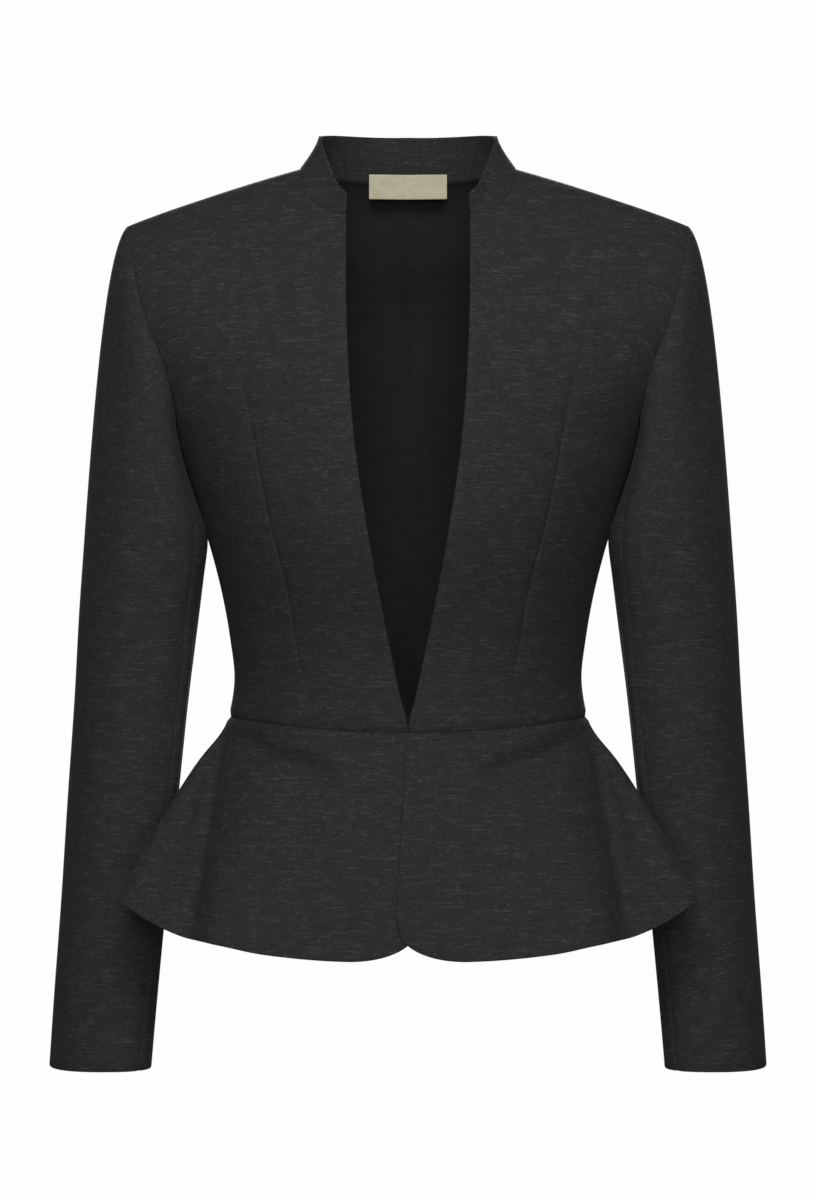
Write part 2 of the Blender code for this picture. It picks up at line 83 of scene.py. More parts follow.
# Waist dart of each front
DART_HALF_WIDTH = 4.0
DART_LINE = 0.6
DART_DEPTH = 1.3
DART_HOLLOW = 5.0
DART_HOLLOW_DEPTH = 0.7
DART_LOW_Z = -392.0
DART_HIGH_Z = -112.0
DART_FADE = 60.0

# Sleeves
SLEEVE_TOP_Z = -279.0
CUFF_Z = -648.0
SLEEVE_POWER = 2.4
CAP_STEPS = (0.0, 0.12, 0.26, 0.42, 0.6, 0.8, 1.0)
TUBE_ROWS = 9 * FINE
FRONT_SEAM = 8 * FINE
BACK_SEAM = 15 * FINE

# Peplum
PEPLUM_STEPS = (0.0, 0.1, 0.22, 0.36, 0.5, 0.64, 0.78, 0.9, 1.0)
PEPLUM_FRONT_COLUMNS = 28 * FINE
PEPLUM_BACK_COLUMNS = 18 * FINE
PEPLUM_BOW = 0.2
LAP_START = 0.01
LAP_RAMP = 0.1
LAP_WIDTH = 9.5
LAP_POWER = 0.8
LAP_FADE = 60.0
LAP_LIFT = 1.3
CORNER_WIDTH = 45.0
CORNER_RISE = 28.0

# Collar and label
COLLAR_STEPS = 4 * FINE
COLLAR_CURVE = 1.35
NECK_AXIS_Y = 5.0
LABEL_WIDTH = 58.0
LABEL_TOP_Z = 8.5
LABEL_BOTTOM_Z = -10.0
LABEL_THICKNESS = 0.8
LABEL_COLUMNS = 40
LABEL_ROWS = 16
LABEL_GAP = 0.5
LABEL_ROUND = 0.4

# Roll under the waist seam
ROLL_HEIGHT = 2.2
ROLL_PLACE = 4.5
ROLL_WIDTH = 2.8
ROLL_END_X = 102.0
ROLL_FADE = 26.0

# How deep the cloth dips into each kind of seam, and within what distance of it
Dip = namedtuple("Dip", "depth width")
SEAM = Dip(0.5, 3.0)
ARMHOLE_SEAM = Dip(0.1, 3.0)
WAIST_SEAM = Dip(1.5, 2.4)
BODICE_SEAMS = {"first_row": WAIST_SEAM, "last_row": SEAM, "last_column": ARMHOLE_SEAM}
PEPLUM_SEAMS = {"first_row": WAIST_SEAM, "last_column": SEAM}

# Rims of a grid, each with the line of points beside it
RIMS = {
    "first_row": (np.s_[0, :], np.s_[1, :]),
    "last_row": (np.s_[-1, :], np.s_[-2, :]),
    "first_column": (np.s_[:, 0], np.s_[:, 1]),
    "last_column": (np.s_[:, -1], np.s_[:, -2]),
}

# Edges of a piece: the gap left to its line, below 0 a lap, its rounding and the point of a corner in it
Edge = namedtuple("Edge", "gap round corner")
FREE = Edge(0.0, EDGE_ROUND, None)
SEWN = Edge(-SEAM_LAP, SEAM_ROUND, None)
AT_WAIST = SEWN._replace(gap=-WAIST_LAP)
AT_ARMHOLE = SEWN._replace(round=ARMHOLE_ROUND)
BODICE_EDGES = {
    "first_row": AT_WAIST,
    "last_row": SEWN,
    "first_column": SEWN._replace(round=EDGE_ROUND, corner=FIRST_NECK),
    "last_column": AT_ARMHOLE._replace(corner=LOW_ROWS),
}
SLEEVE_EDGES = {"first_row": AT_ARMHOLE, "last_row": FREE, "first_column": SEWN, "last_column": SEWN}
PEPLUM_EDGES = {
    "first_row": AT_WAIST,
    "last_row": FREE,
    "first_column": FREE._replace(gap=-SEAM_LAP),
    "last_column": SEWN,
}
COLLAR_EDGES = {"first_row": SEWN, "last_row": FREE, "first_column": FREE, "last_column": FREE}
LABEL_EDGES = dict.fromkeys(RIMS, FREE._replace(round=LABEL_ROUND))

# Camera and light: places and sizes in metres, lens and sensor in millimetres, power in watts
CAMERA_PLACE = (0.0, -3.2, -0.308)
CAMERA_LENS = 131.5
SENSOR = 36.0
ROOM_LIGHT = 0.15
BACKDROP_LIGHT = 0.985
MIDDLE = (0.0, 0.0, -0.3)
Lamp = namedtuple("Lamp", "name place target size power")
LAMPS = (
    Lamp("key", (0.0, -1.7, 1.35), (0.0, 0.0, -0.25), (1.1, 0.7), 46.0),
    Lamp("front", (0.0, -4.0, 0.5), MIDDLE, (1.4, 1.4), 70.0),
    Lamp("fill", (0.0, -2.4, -1.9), MIDDLE, (1.6, 1.0), 20.0),
    Lamp("back", (0.0, 3.0, 1.0), MIDDLE, (2.0, 1.4), 120.0),
)

# The weave: width of a thread, and how far the noise moves on from one row of threads to the next
THREAD = 0.75
ROW_STEP = 7.31
ROW_SHIFT = 0.618

# The rows of the weave follow the height until the cloth is this many times as long as it is high
LEVEL_SLOPE = 2.0

# How far one step of the seed moves each kind of noise
NOISE_SHIFT = (17.3, 41.7, 1.0)
THREADS_SHIFT = 5.3
CROSSINGS_SHIFT = (13.0, 29.0, 0.0)

# Noises: the size of a mark across and along the cloth, the seed and the detail
Noise = namedtuple("Noise", "across along seed detail")
MOTTLE = Noise(14, 9, 6, 2.0)
WARP = Noise(0.7, 4, 4, 0.0)
WEFT_RELIEF = Noise(4.0, 0.45, 7, 1.0)
WARP_RELIEF = Noise(0.45, 3.0, 8, 1.0)
SATIN_MOTTLE = Noise(9, 6, 3, 2.0)
SATIN_FLOATS = Noise(5.0, 0.3, 1, 2.0)
SATIN_WARP = Noise(0.3, 6.0, 2, 2.0)

# Threads and flecks: the length of a mark and the seed
Thread = namedtuple("Thread", "length seed")
LONG_THREADS = Thread(16, 1)
SHORT_THREADS = Thread(5, 2)
DARK_THREADS = Thread(8, 3)
REVERSE_THREADS = Thread(9, 1)
PALE_FLECKS = Thread(THREAD, 1)
DARK_FLECKS = Thread(THREAD, 2)

# Where a noise begins to mark the cloth and where it does so fully, and how much paler it makes it
Mark = namedtuple("Mark", "low high paler")
LONG_MARK = Mark(0.79, 0.83, 0.11)
SHORT_MARK = Mark(0.80, 0.84, 0.11)
DARK_MARK = Mark(0.67, 0.72, -0.11)
WARP_MARK = Mark(0.70, 0.76, 0.06)
PALE_FLECK_MARK = Mark(0.986, 0.988, 0.2)
DARK_FLECK_MARK = Mark(0.976, 0.978, -0.12)
REVERSE_MARK = Mark(0.64, 0.72, 0.15)

# Tones that the mottle gives, its share in where pale threads lie, and the share of the satin's floats
MOTTLE_RANGE = (0.3, 0.7)
SUITING_TONES = (0.29, 0.32)
REVERSE_TONES = (0.3, 0.45)
SATIN_TONES = (0.3, 0.5)
MOTTLE_SHARE = 0.2
FLOATS_SHARE = 0.3

# Colours from dark tones to pale ones
SUITING_COLOURS = (
    (0.0, (0.0071, 0.0071, 0.0073)),
    (0.3, (0.0169, 0.0169, 0.0172)),
    (0.6, (0.0414, 0.0414, 0.0420)),
    (1.0, (0.0985, 0.0985, 0.0990)),
)
# The wrong side's colours are darker than the suiting's: painted shade on the garment's inside, not a
# darker cloth
REVERSE_SHADED_COLOURS = (
    (0.0, (0.0065, 0.0065, 0.0067)),
    (1.0, (0.0185, 0.0185, 0.0190)),
)
SATIN_COLOURS = (
    (0.25, (0.222, 0.201, 0.122)),
    (0.75, (0.322, 0.291, 0.191)),
)

# Relief of the threads, and the shares of the warp and of the long threads in it
Relief = namedtuple("Relief", "height strength")
SUITING_RELIEF = Relief(0.2, 0.3)
REVERSE_RELIEF = Relief(0.2, 0.4)
SATIN_RELIEF = Relief(0.15, 0.5)
WARP_SHARE = 0.7
SLUB_SHARE = 0.3
SATIN_WARP_SHARE = 0.5

# Finish of each cloth
SUITING_FINISH = {
    "Roughness": 0.88,
    "Specular IOR Level": 0.06,
    "Sheen Weight": 0.015,
    "Sheen Roughness": 0.5,
}
REVERSE_FINISH = {"Roughness": 0.9, "Specular IOR Level": 0.05}
SATIN_FINISH = {"Roughness": 0.5, "Sheen Weight": 0.1}

Ring = namedtuple("Ring", "z half_width front back")
RINGS = (
    Ring(-404, 133.5, 105, 79),
    Ring(-393, 131.0, 105, 78),
    Ring(-366, 127.0, 107, 77),
    Ring(-337, 130.0, 112, 78),
    Ring(-308, 135.0, 121.5, 80),
    Ring(-279, 142.0, 132, 83),
    Ring(-250, 150.7, 138, 86),
    Ring(-213, 164.0, 137.5, 88),
    Ring(-190, 174.0, 136.5, 89),
    Ring(-159, 193.0, 136, 90),
    Ring(-134, 210.0, 136, 90),
    Ring(-107, 229.0, 136, 90),
    Ring(-63, 242.0, 136, 90),
    Ring(-34, 246.0, 136, 90),
    Ring(12, 250.0, 136, 90),
)

EdgePoint = namedtuple("EdgePoint", "z x")
FRONT_EDGE = (
    EdgePoint(-402.0, 0.0),
    EdgePoint(-398.5, 0.0),
    EdgePoint(-381.0, 4.4),
    EdgePoint(-365.0, 8.0),
    EdgePoint(-308.0, 19.8),
    EdgePoint(-252.0, 29.9),
    EdgePoint(-195.0, 37.9),
    EdgePoint(-139.0, 42.4),
    EdgePoint(-95.0, 44.0),
    EdgePoint(NECK_FRONT_Z, NECK_FRONT_X),
)
ARMHOLE = (
    EdgePoint(ARMPIT_Z, 164.0),
    EdgePoint(-190.0, 165.5),
    EdgePoint(-161.0, 169.6),
    EdgePoint(-136.0, 176.5),
    EdgePoint(-110.0, 187.0),
    EdgePoint(-66.0, 199.5),
    EdgePoint(-34.0, SHOULDER_TIP_X),
)
DART = (
    EdgePoint(-404.0, 67.0),
    EdgePoint(-381.0, 71.0),
    EdgePoint(-356.0, 77.0),
    EdgePoint(-303.0, 86.0),
    EdgePoint(-246.0, 100.0),
    EdgePoint(-184.0, 112.0),
    EdgePoint(-115.0, 126.0),
    EdgePoint(0.0, 139.0),
)

Section = namedtuple("Section", "z outer inner front back skew")
SLEEVE = (
    Section(CUFF_Z, 261.5, 187.6, -46, 42, 6),
    Section(-600, 258.3, 183.7, -46, 46, 7),
    Section(-527, 253.2, 176.8, -45, 53, 7),
    Section(-454, 248.9, 168.8, -44, 60, 7),
    Section(-381, 243.9, 161.4, -46, 65, 8),
    Section(-308, 239.6, 152.3, -52, 67, 9),
    Section(SLEEVE_TOP_Z, 237.2, 148.9, -56, 67, 10),
)
Leave = namedtuple("Leave", "turn out forward down")
SLEEVE_HEAD = (
    Leave(0, 58, 0, 55),
    Leave(45, 53, 18, 60),
    Leave(90, 32, 24, 60),
    Leave(135, 0, 14, 52),
    Leave(160, -24, 9, 65),
    Leave(180, -20, 0, 66),
)

Station = namedtuple("Station", "turn hem_x hem_y length")
Place = namedtuple("Place", ("walk", *Station._fields))
PEPLUM_FRONT = (
    Station(0, 0, -141, 165),
    Station(22, 52, -140, 167),
    Station(44, 100, -137, 172),
    Station(60, 126, -131, 177.5),
    Station(70.5, 141, -121, 181),
    Station(75.5, 149, -107, 179),
    Station(78.5, 157, -96, 176.5),
    Station(80.7, 169, -94, 176),
    Station(82.5, 185, -97, 176.5),
    Station(84.2, 199, -93, 174.2),
    Station(85.2, 207, -82, 170),
    Station(86.3, 203, -66, 163),
    Station(87.4, 188, -48, 158),
    Station(88.6, 171, -26, 157),
    Station(90, 165, 5, 157),
)
PEPLUM_BACK = (
    Station(90, 165, 5, 157),
    Station(94, 170, 34, 157),
    Station(98, 184, 60, 159),
    Station(102, 197, 82, 162),
    Station(106, 194, 101, 164),
    Station(114, 171, 117, 165),
    Station(125, 136, 130, 165),
    Station(142, 95, 142, 165),
    Station(161, 48, 149, 165),
    Station(180, 0, 152, 165),
)

Band = namedtuple("Band", "place lean rise")
COLLAR = (
    Band(0.0, 2.0, 33.2),
    Band(0.25, 6.0, 31.3),
    Band(0.5, 14.0, 24.0),
    Band(0.75, 14.0, 24.0),
    Band(0.9, 6.0, 19.0),
    Band(1.0, 0.0, 14.5),
)

# Creases: how far they keep from the seams, and the shares of their length where they begin and are full
FOLD_CLEAR = 7.0
FOLD_BEGINS = -0.1
FOLD_FULL = 0.3

# Soft creases from one point to another as seen square on; a depth below 0 is a ridge
Fold = namedtuple("Fold", "x z to_x to_z width depth")
FRONT_FOLDS = (
    Fold(83, -1, 98, -15, 4, 2.6),
    Fold(63, -24, 62, -140, 9, 0.9),
    Fold(150, -205, 112, -168, 9, 0.8),
    Fold(146, -252, 108, -232, 10, 0.8),
    Fold(118, -392, 84, -352, 9, 0.9),
    Fold(96, -398, 40, -376, 8, 0.6),
    Fold(50, -396, 22, -352, 8, 0.6),
)
BACK_FOLDS = (
    Fold(84, -2, 110, -24, 6, 0.9),
    Fold(152, -205, 112, -150, 10, 1.1),
    Fold(140, -262, 92, -225, 11, 1.0),
    Fold(122, -390, 74, -338, 10, 1.3),
    Fold(112, -350, 58, -322, 9, 0.9),
    Fold(70, -394, 26, -352, 9, 0.9),
    Fold(40, -58, 44, -180, 14, 0.9),
)
PEPLUM_FOLDS = (
    Fold(128, -405, 50, -436, 11, 8.5),
    Fold(120, -403, 56, -418, 3.6, -2.6),
    Fold(134, -388, 159, -545, 7, 4.4),
    Fold(52, -402, 58, -476, 13, 0.6),
)

# Creases of the sleeve: place in degrees round it from the outside, by the front, and height
Crease = namedtuple("Crease", "turn z to_turn to_z width depth")
SLEEVE_CREASES = (
    Crease(66, -80, 100, -190, 7, -1.2),
    Crease(38, -80, 50, -200, 12, 2.0),
    Crease(290, -60, 250, -150, 9, 0.9),
    Crease(130, -258, 230, -258, 13, -1.8),
    Crease(139, -318, 139, -480, 8, -3.2),
    Crease(60, -352, 120, -336, 8, 1.0),
    Crease(75, -392, 132, -398, 9, 1.1),
    Crease(66, -436, 122, -458, 8, 0.9),
    Crease(250, -350, 306, -372, 10, 0.8),
    Crease(240, -420, 300, -408, 10, 0.9),
    Crease(60, -560, 110, -580, 9, 0.5),
    Crease(260, -540, 310, -562, 9, 0.6),
)

# The cut of each piece, laid flat, in metres and square metres
Cut = namedtuple("Cut", "piece width length area")

# The outer points of a piece and the unit normals there
Form = namedtuple("Form", "grid normals")


def spline(rows, key, name, at):
    """The smooth curve of one named column against the key, which rises, through every row."""
    knots = np.array([getattr(row, key) for row in rows], float)
    values = np.array([getattr(row, name) for row in rows], float)
    slopes = np.gradient(values, knots)
    at = np.clip(at, knots[0], knots[-1])
    low = np.clip(np.searchsorted(knots, at) - 1, 0, len(knots) - 2)
    span = knots[low + 1] - knots[low]
    part = (at - knots[low]) / span
    return hermite(values[low], slopes[low] * span, values[low + 1], slopes[low + 1] * span, part)


def hermite(start, leave, end, arrive, part):
    """The cubic from start to end that leaves and arrives along the given tangents."""
    rest = 1 - part
    return (
        start * (1 + 2 * part) * rest**2
        + leave * part * rest**2
        + end * part**2 * (3 - 2 * part)
        - arrive * part**2 * rest
    )


def ease(part):
    """A smooth step from 0 to 1."""
    part = np.clip(part, 0.0, 1.0)
    return part * part * (3 - 2 * part)


def bump(distance, width):
    """A soft bell of height 1."""
    return np.exp(-((distance / width) ** 2))


def unit(vectors):
    """The vectors at length 1."""
    return vectors / np.linalg.norm(vectors, axis=-1, keepdims=True)


def finer(steps):
    """The steps with FINE times as many parts."""
    count = len(steps) - 1
    return np.interp(np.linspace(0, count, count * FINE + 1), np.arange(count + 1), steps)


def crest_bow(x):
    """How far the shoulder line stands above a straight one."""
    along = np.clip((x - NECK_POINT_X) / (SHOULDER_TIP_X - NECK_POINT_X), 0, 1)
    return CREST_BOW * 4 * along * (1 - along)


def crest(x):
    """Height of the shoulder line above x."""
    return CREST_TOP - CREST_SLOPE * x + crest_bow(x)


def half_width(z):
    """Half width of the bodice's rings at a height."""
    return spline(RINGS, "z", "half_width", z)


def body_y(x, z, front):
    """Depth of the bodice's outer face at a place seen from the front, on its front or its back."""
    below = crest(x) - z
    if not front:
        inside = np.clip(x / NECK_POINT_X, 0, 1)
        arch = CREST_SLOPE * NECK_POINT_X / 2 * (1 - inside) ** 2
        rise = BACK_NECK_RISE * (1 - inside**BACK_NECK_POWER)
        below = below - arch + rise * (1 - ease((NECK_BACK_Z - z) / BACK_NECK_FADE))
    roll = FRONT_ROLL if front else BACK_ROLL
    to_tip = ease((x - NECK_POINT_X) / (SHOULDER_TIP_X - NECK_POINT_X))
    power = NECK_ROLL_POWER + (TIP_ROLL_POWER - NECK_ROLL_POWER) * to_tip
    over = np.sin(math.pi / 2 * np.clip(below / roll, 0, 1)) ** power
    across = np.sqrt(np.clip(1 - np.clip(x / half_width(z), 0, 1) ** RING_POWER, 0, 1))
    depth = spline(RINGS, "z", "front" if front else "back", z)
    return SIDE_Y + (-depth if front else depth) * over * across


def panel_ends(front):
    """The (x, z) ends of each row of a bodice panel: centre edge or neck seam, then side or armhole."""
    waist_z = WAIST_FRONT_Z if front else WAIST_BACK_Z
    neck_z = NECK_FRONT_Z if front else NECK_BACK_Z
    neck_x = NECK_FRONT_X if front else 0.0
    edge_rows = HIGH_ROWS - NECK_ROWS
    ends = []

    def centre_x(z):
        return max(0.0, float(spline(FRONT_EDGE, "z", "x", z))) if front else 0.0

    for row in range(LOW_ROWS):
        up = row / LOW_ROWS
        edge_z = waist_z + up * (ARMPIT_Z - waist_z)
        side_z = WAIST_SIDE_Z + up * (ARMPIT_Z - WAIST_SIDE_Z)
        ends.append((centre_x(edge_z), edge_z, float(half_width(side_z)), side_z))
    tip_z = crest(SHOULDER_TIP_X)
    for row in range(HIGH_ROWS + 1):
        up = (1 - math.cos(math.pi * row / HIGH_ROWS)) / 2
        arm_z = ARMPIT_Z + up * (tip_z - ARMPIT_Z)
        arm_x = float(spline(ARMHOLE, "z", "x", arm_z))
        if row <= edge_rows:
            edge_z = ARMPIT_Z + row / edge_rows * (neck_z - ARMPIT_Z)
            edge_x = centre_x(edge_z)
        else:
            turn = math.pi / 2 * (row - edge_rows) / NECK_ROWS
            edge_x = neck_x + (NECK_POINT_X - neck_x) * math.sin(turn)
            edge_z = neck_z + (crest(NECK_POINT_X) - neck_z) * (1 - math.cos(turn))
        ends.append((edge_x, edge_z, arm_x, arm_z))
    return ends


def body_panel(front):
    """Outer points of one bodice panel of the wearer's left, rows from waist to shoulder."""
    ends = panel_ends(front)
    grid = []
    for row, (edge_x, edge_z, side_x, side_z) in enumerate(ends):
        ring_edge, ring_side = float(half_width(edge_z)), float(half_width(side_z))
        turn_edge = math.asin(edge_x / ring_edge)
        turn_side = math.asin(min(1.0, side_x / ring_side))
        dart_z = (edge_z + side_z) / 2
        dart_turn = math.asin(float(spline(DART, "z", "x", dart_z)) / float(half_width(dart_z)))
        dart = (dart_turn - turn_edge) / (turn_side - turn_edge)
        beside = DART_HALF_WIDTH / (half_width(dart_z) * math.cos(dart_turn) * (turn_side - turn_edge))
        across = np.concatenate((
            np.linspace(0, dart - beside, EDGE_COLUMNS + 1),
            dart + beside * np.array(DART_COLUMNS),
            np.linspace(dart + beside, 1, SIDE_COLUMNS + 1),
        ))
        ring = ring_edge + across * (ring_side - ring_edge)
        x = ring * np.sin(turn_edge + across * (turn_side - turn_edge))
        x[0], x[-1] = edge_x, side_x
        up = row / (len(ends) - 1)
        z = edge_z + (side_z - edge_z) * ((x - edge_x) / (side_x - edge_x)) ** (2 - up)
        z += crest_bow(x) * up**CREST_BOW_POWER
        y = body_y(x, z, front)
        if row <= LOW_ROWS:
            y[-1] = SIDE_Y
        if row == len(ends) - 1:
            y[:] = SIDE_Y
        grid.append(np.stack((x, y, z), axis=-1))
    return np.array(grid)


def normals_of(grid, flip=False, ring=False):
    """Unit normals of a grid of points; a ring's columns join up."""
    padded = np.concatenate((grid[:, -1:], grid, grid[:, :1]), axis=1) if ring else grid
    along = np.gradient(padded, axis=1)
    if ring:
        along = along[:, 1:-1]
    up = np.gradient(grid, axis=0)
    found = unit(np.cross(along, up))
    return -found if flip else found


def body_normals(grid, front):
    """Normals of a bodice panel, made the same on both sides of each seam that it shares."""
    found = normals_of(grid, flip=not front)
    found[0, :, 2] = 0
    if not front:
        found[: FIRST_NECK + 1, 0, 0] = 0
    z = grid[: LOW_ROWS + 1, -1, 2]
    widening = (half_width(z + 1) - half_width(z - 1)) / 2
    found[: LOW_ROWS + 1, -1] = np.stack((np.ones_like(z), np.zeros_like(z), -widening), axis=-1)
    found[0, -1, 2] = 0
    found[-1] = (CREST_SLOPE, 0, 1)
    return unit(found)


def turns(count):
    """Turns of the columns of a ring, in degrees."""
    return 360.0 * np.arange(count) / count


def sleeve_grid(front, back):
    """Outer points of the whole sleeve, columns from the shoulder tip down the front and up the back."""
    ring = np.concatenate((front[: LOW_ROWS - 1 : -1, -1], back[LOW_ROWS + 1 : -1, -1]))
    count = len(ring)
    turn = turns(count)
    half_turn = np.where(turn > 180, 360 - turn, turn)
    facing = np.where(turn > 180, 1.0, -1.0)

    def section(z):
        size = {name: spline(SLEEVE, "z", name, z) for name in Section._fields[1:]}
        cosine, sine = np.cos(np.radians(turn)), np.sin(np.radians(turn))
        out = np.sign(cosine) * abs(cosine) ** (2 / SLEEVE_POWER)
        aside = np.sign(sine) * abs(sine) ** (2 / SLEEVE_POWER)
        middle, reach = (size["outer"] + size["inner"]) / 2, (size["outer"] - size["inner"]) / 2
        x = middle + out * reach - aside * size["skew"]
        y = (size["front"] + size["back"]) / 2 - aside * (size["back"] - size["front"]) / 2
        return np.stack((x, y, np.full(count, z)), axis=-1)

    top = section(SLEEVE_TOP_Z)
    slope = top - section(SLEEVE_TOP_Z - 1)
    leave = np.stack((
        spline(SLEEVE_HEAD, "turn", "out", half_turn),
        facing * spline(SLEEVE_HEAD, "turn", "forward", half_turn),
        -spline(SLEEVE_HEAD, "turn", "down", half_turn),
    ), axis=-1)
    arrive = slope * (top[:, 2:] - ring[:, 2:])
    rows = [hermite(ring, leave, top, arrive, step) for step in finer(CAP_STEPS)]
    for row in range(1, TUBE_ROWS + 1):
        rows.append(section(SLEEVE_TOP_Z + row / TUBE_ROWS * (CUFF_Z - SLEEVE_TOP_Z)))
    return np.array(rows)


def waist_point(turn, front):
    """A point of the waist seam at an angle from centre front."""
    across = abs(math.sin(math.radians(turn)))
    dip = (WAIST_FRONT_Z if front else WAIST_BACK_Z) - WAIST_SIDE_Z
    side_x = float(half_width(WAIST_SIDE_Z))
    x = side_x * across
    z = WAIST_SIDE_Z + dip * (1 - across**2)
    y = SIDE_Y if x == side_x else float(body_y(np.array(x), np.array(z), front))
    return np.array((x, y, z))


def peplum_grid(stations, front, lift):
    """Outer points of one peplum piece of the wearer's left, rows from waist to hem, columns backwards."""
    count = PEPLUM_FRONT_COLUMNS if front else PEPLUM_BACK_COLUMNS
    walk = [0.0]
    for a, b in zip(stations, stations[1:]):
        walk.append(walk[-1] + math.hypot(b.hem_x - a.hem_x, b.hem_y - a.hem_y))
    places = [Place(w, *row) for w, row in zip(walk, stations)]
    steps = finer(PEPLUM_STEPS)
    columns = []
    for reach in np.linspace(0, walk[-1], count + 1):
        waist = waist_point(float(spline(places, "walk", "turn", reach)), front)
        *hem, length = (float(spline(places, "walk", name, reach)) for name in ("hem_x", "hem_y", "length"))
        hem = np.array(hem)
        drop = math.sqrt(length**2 - np.sum((hem - waist[:2]) ** 2))
        corner = np.clip(1 - reach / CORNER_WIDTH, 0, 1) if front else 0.0
        trim = 1 - CORNER_RISE * (1 - math.sqrt(1 - corner**2)) / drop
        column = []
        for step in trim * steps:
            x, y = waist[:2] + (hem - waist[:2]) * step * (1 + PEPLUM_BOW * (1 - step))
            if front:
                near = 1 - ease(reach / LAP_FADE)
                past = max(0.0, (step - LAP_START) / (1 - LAP_START))
                x -= LAP_WIDTH * past**LAP_POWER * near
                y += lift * near * ease(step / LAP_RAMP)
            column.append((x, y, waist[2] - drop * step))
        columns.append(column)
    return np.array(columns).transpose(1, 0, 2)


def peplum_normals(grid, front):
    """Normals of a peplum piece, square to the side seam and to centre back."""
    found = normals_of(grid, flip=True)
    found[0, :, 2] = 0
    if front:
        found[:, -1] = (1, 0, 0)
    else:
        found[:, 0] = (1, 0, 0)
        found[:, -1, 0] = 0
    return unit(found)


def collar_grid(front, back):
    """Outer points of the collar band, from its left front corner round the back, rows from seam to top."""
    base = np.concatenate((front[FIRST_NECK:, 0], back[FIRST_NECK:-1, 0][::-1]))
    place = np.linspace(1, 0, len(base))
    outward = unit(base[:, :2] - (0, NECK_AXIS_Y))
    rows = []
    for step in np.linspace(0, 1, COLLAR_STEPS + 1):
        row = base.copy()
        inward = 1 - (1 - step) ** COLLAR_CURVE
        row[:, :2] -= outward * spline(COLLAR, "place", "lean", place)[:, None] * inward
        row[:, 2] += spline(COLLAR, "place", "rise", place) * step
        rows.append(row)
    half = np.array(rows)
    return np.concatenate((half, half[:, -2::-1] * MIRROR), axis=1)


def label_grid(collar_inner):
    """Face of the label towards the neck: the collar's inner face at centre back, moved in and straight."""
    half = collar_inner.shape[1] // 2
    side = half - FINE
    centre, aside = collar_inner[:, half], collar_inner[:, side]
    centre_y, aside_y = (float(np.interp(LABEL_TOP_Z, c[:, 2], c[:, 1])) for c in (centre, aside))
    away = LABEL_GAP + LABEL_THICKNESS
    rows = []
    for z in np.linspace(LABEL_BOTTOM_Z, LABEL_TOP_Z, LABEL_ROWS + 1):
        row = []
        for x in np.linspace(-LABEL_WIDTH / 2, LABEL_WIDTH / 2, LABEL_COLUMNS + 1):
            row.append((x, centre_y + (aside_y - centre_y) * abs(x / aside[1, 0]) - away, z))
        rows.append(row)
    return np.array(rows)


def joined_normals(a, b):
    """The shared normal of two pieces at a seam; where they fold back on each other each keeps its own."""
    agree = np.sum(a * b, axis=-1, keepdims=True) > 0
    return unit(np.where(agree, a + b, a)), unit(np.where(agree, a + b, b))


def join_seam(first, first_at, second, second_at):
    """Give two pieces their shared normals at the rows and columns where they are sewn together."""
    first[first_at], second[second_at] = joined_normals(first[first_at], second[second_at])


def walks(grid):
    """Lengths walked from the first column along each row, and from the first row along each column."""
    across = np.linalg.norm(np.diff(grid, axis=1), axis=-1)
    along = np.linalg.norm(np.diff(grid, axis=0), axis=-1)
    across = np.concatenate((np.zeros((grid.shape[0], 1)), np.cumsum(across, axis=1)), axis=1)
    along = np.concatenate((np.zeros((1, grid.shape[1])), np.cumsum(along, axis=0)), axis=0)
    return across, along


def edge_distances(grid):
    """How far each point lies from each of the four edges, along the cloth."""
    across, along = walks(grid)
    return {
        "first_row": along,
        "last_row": along[-1:] - along,
        "first_column": across,
        "last_column": across[:, -1:] - across,
    }


def trough(start, end, places, width, depth):
    """Depths, at an array of flat places, of a soft trough from start to end that fades over its ends."""
    run = np.subtract(end, start)
    length = np.linalg.norm(run)
    ahead, aside = run / length
    past, off = np.moveaxis(places - start, -1, 0)
    forward = (past * ahead + off * aside) / length
    away = off * ahead - past * aside
    fade = 1.0
    for part in (forward, 1 - forward):
        fade = fade * ease((part - FOLD_BEGINS) / (FOLD_FULL - FOLD_BEGINS))
    return depth * bump(away, width) * fade


def dip(seam, distance):
    """How deep the cloth dips at a distance from a seam."""
    return seam.depth * bump(distance, seam.width)


def folded(grid, normals, folds, seams):
    """The grid with its creases pressed in along the normals, clear of the seams, and dipping into them."""
    distances = edge_distances(grid)
    clear = np.ones(grid.shape[:2])
    for name in seams:
        clear = clear * ease(distances[name] / FOLD_CLEAR)
    sink = np.zeros(grid.shape[:2])
    for fold in folds:
        start, end = (fold.x, fold.z), (fold.to_x, fold.to_z)
        sink += trough(start, end, grid[..., [0, 2]], fold.width, fold.depth)
    sink *= clear
    for name, seam in seams.items():
        sink += dip(seam, distances[name])
    return grid - normals * sink[..., None]


def creased_sleeve(grid, normals):
    """The sleeve with creases placed by turn and height, dipping into the armhole and its two seams."""
    girth = np.linalg.norm(np.diff(grid[-1], axis=0), axis=-1).sum()
    round_it = np.broadcast_to(turns(grid.shape[1]) / 360 * girth, grid.shape[:2])
    places = np.stack((round_it, grid[..., 2]), axis=-1)
    from_top = walks(grid)[1]
    sink = np.zeros(grid.shape[:2])
    for crease in SLEEVE_CREASES:
        start = (crease.turn / 360 * girth, crease.z)
        end = (crease.to_turn / 360 * girth, crease.to_z)
        sink += trough(start, end, places, crease.width, crease.depth)
    sink *= ease(from_top / FOLD_CLEAR)
    for seam in (FRONT_SEAM, BACK_SEAM):
        sink += dip(SEAM, round_it - round_it[:, seam : seam + 1])
    sink += dip(ARMHOLE_SEAM, from_top)
    return grid - normals * sink[..., None]


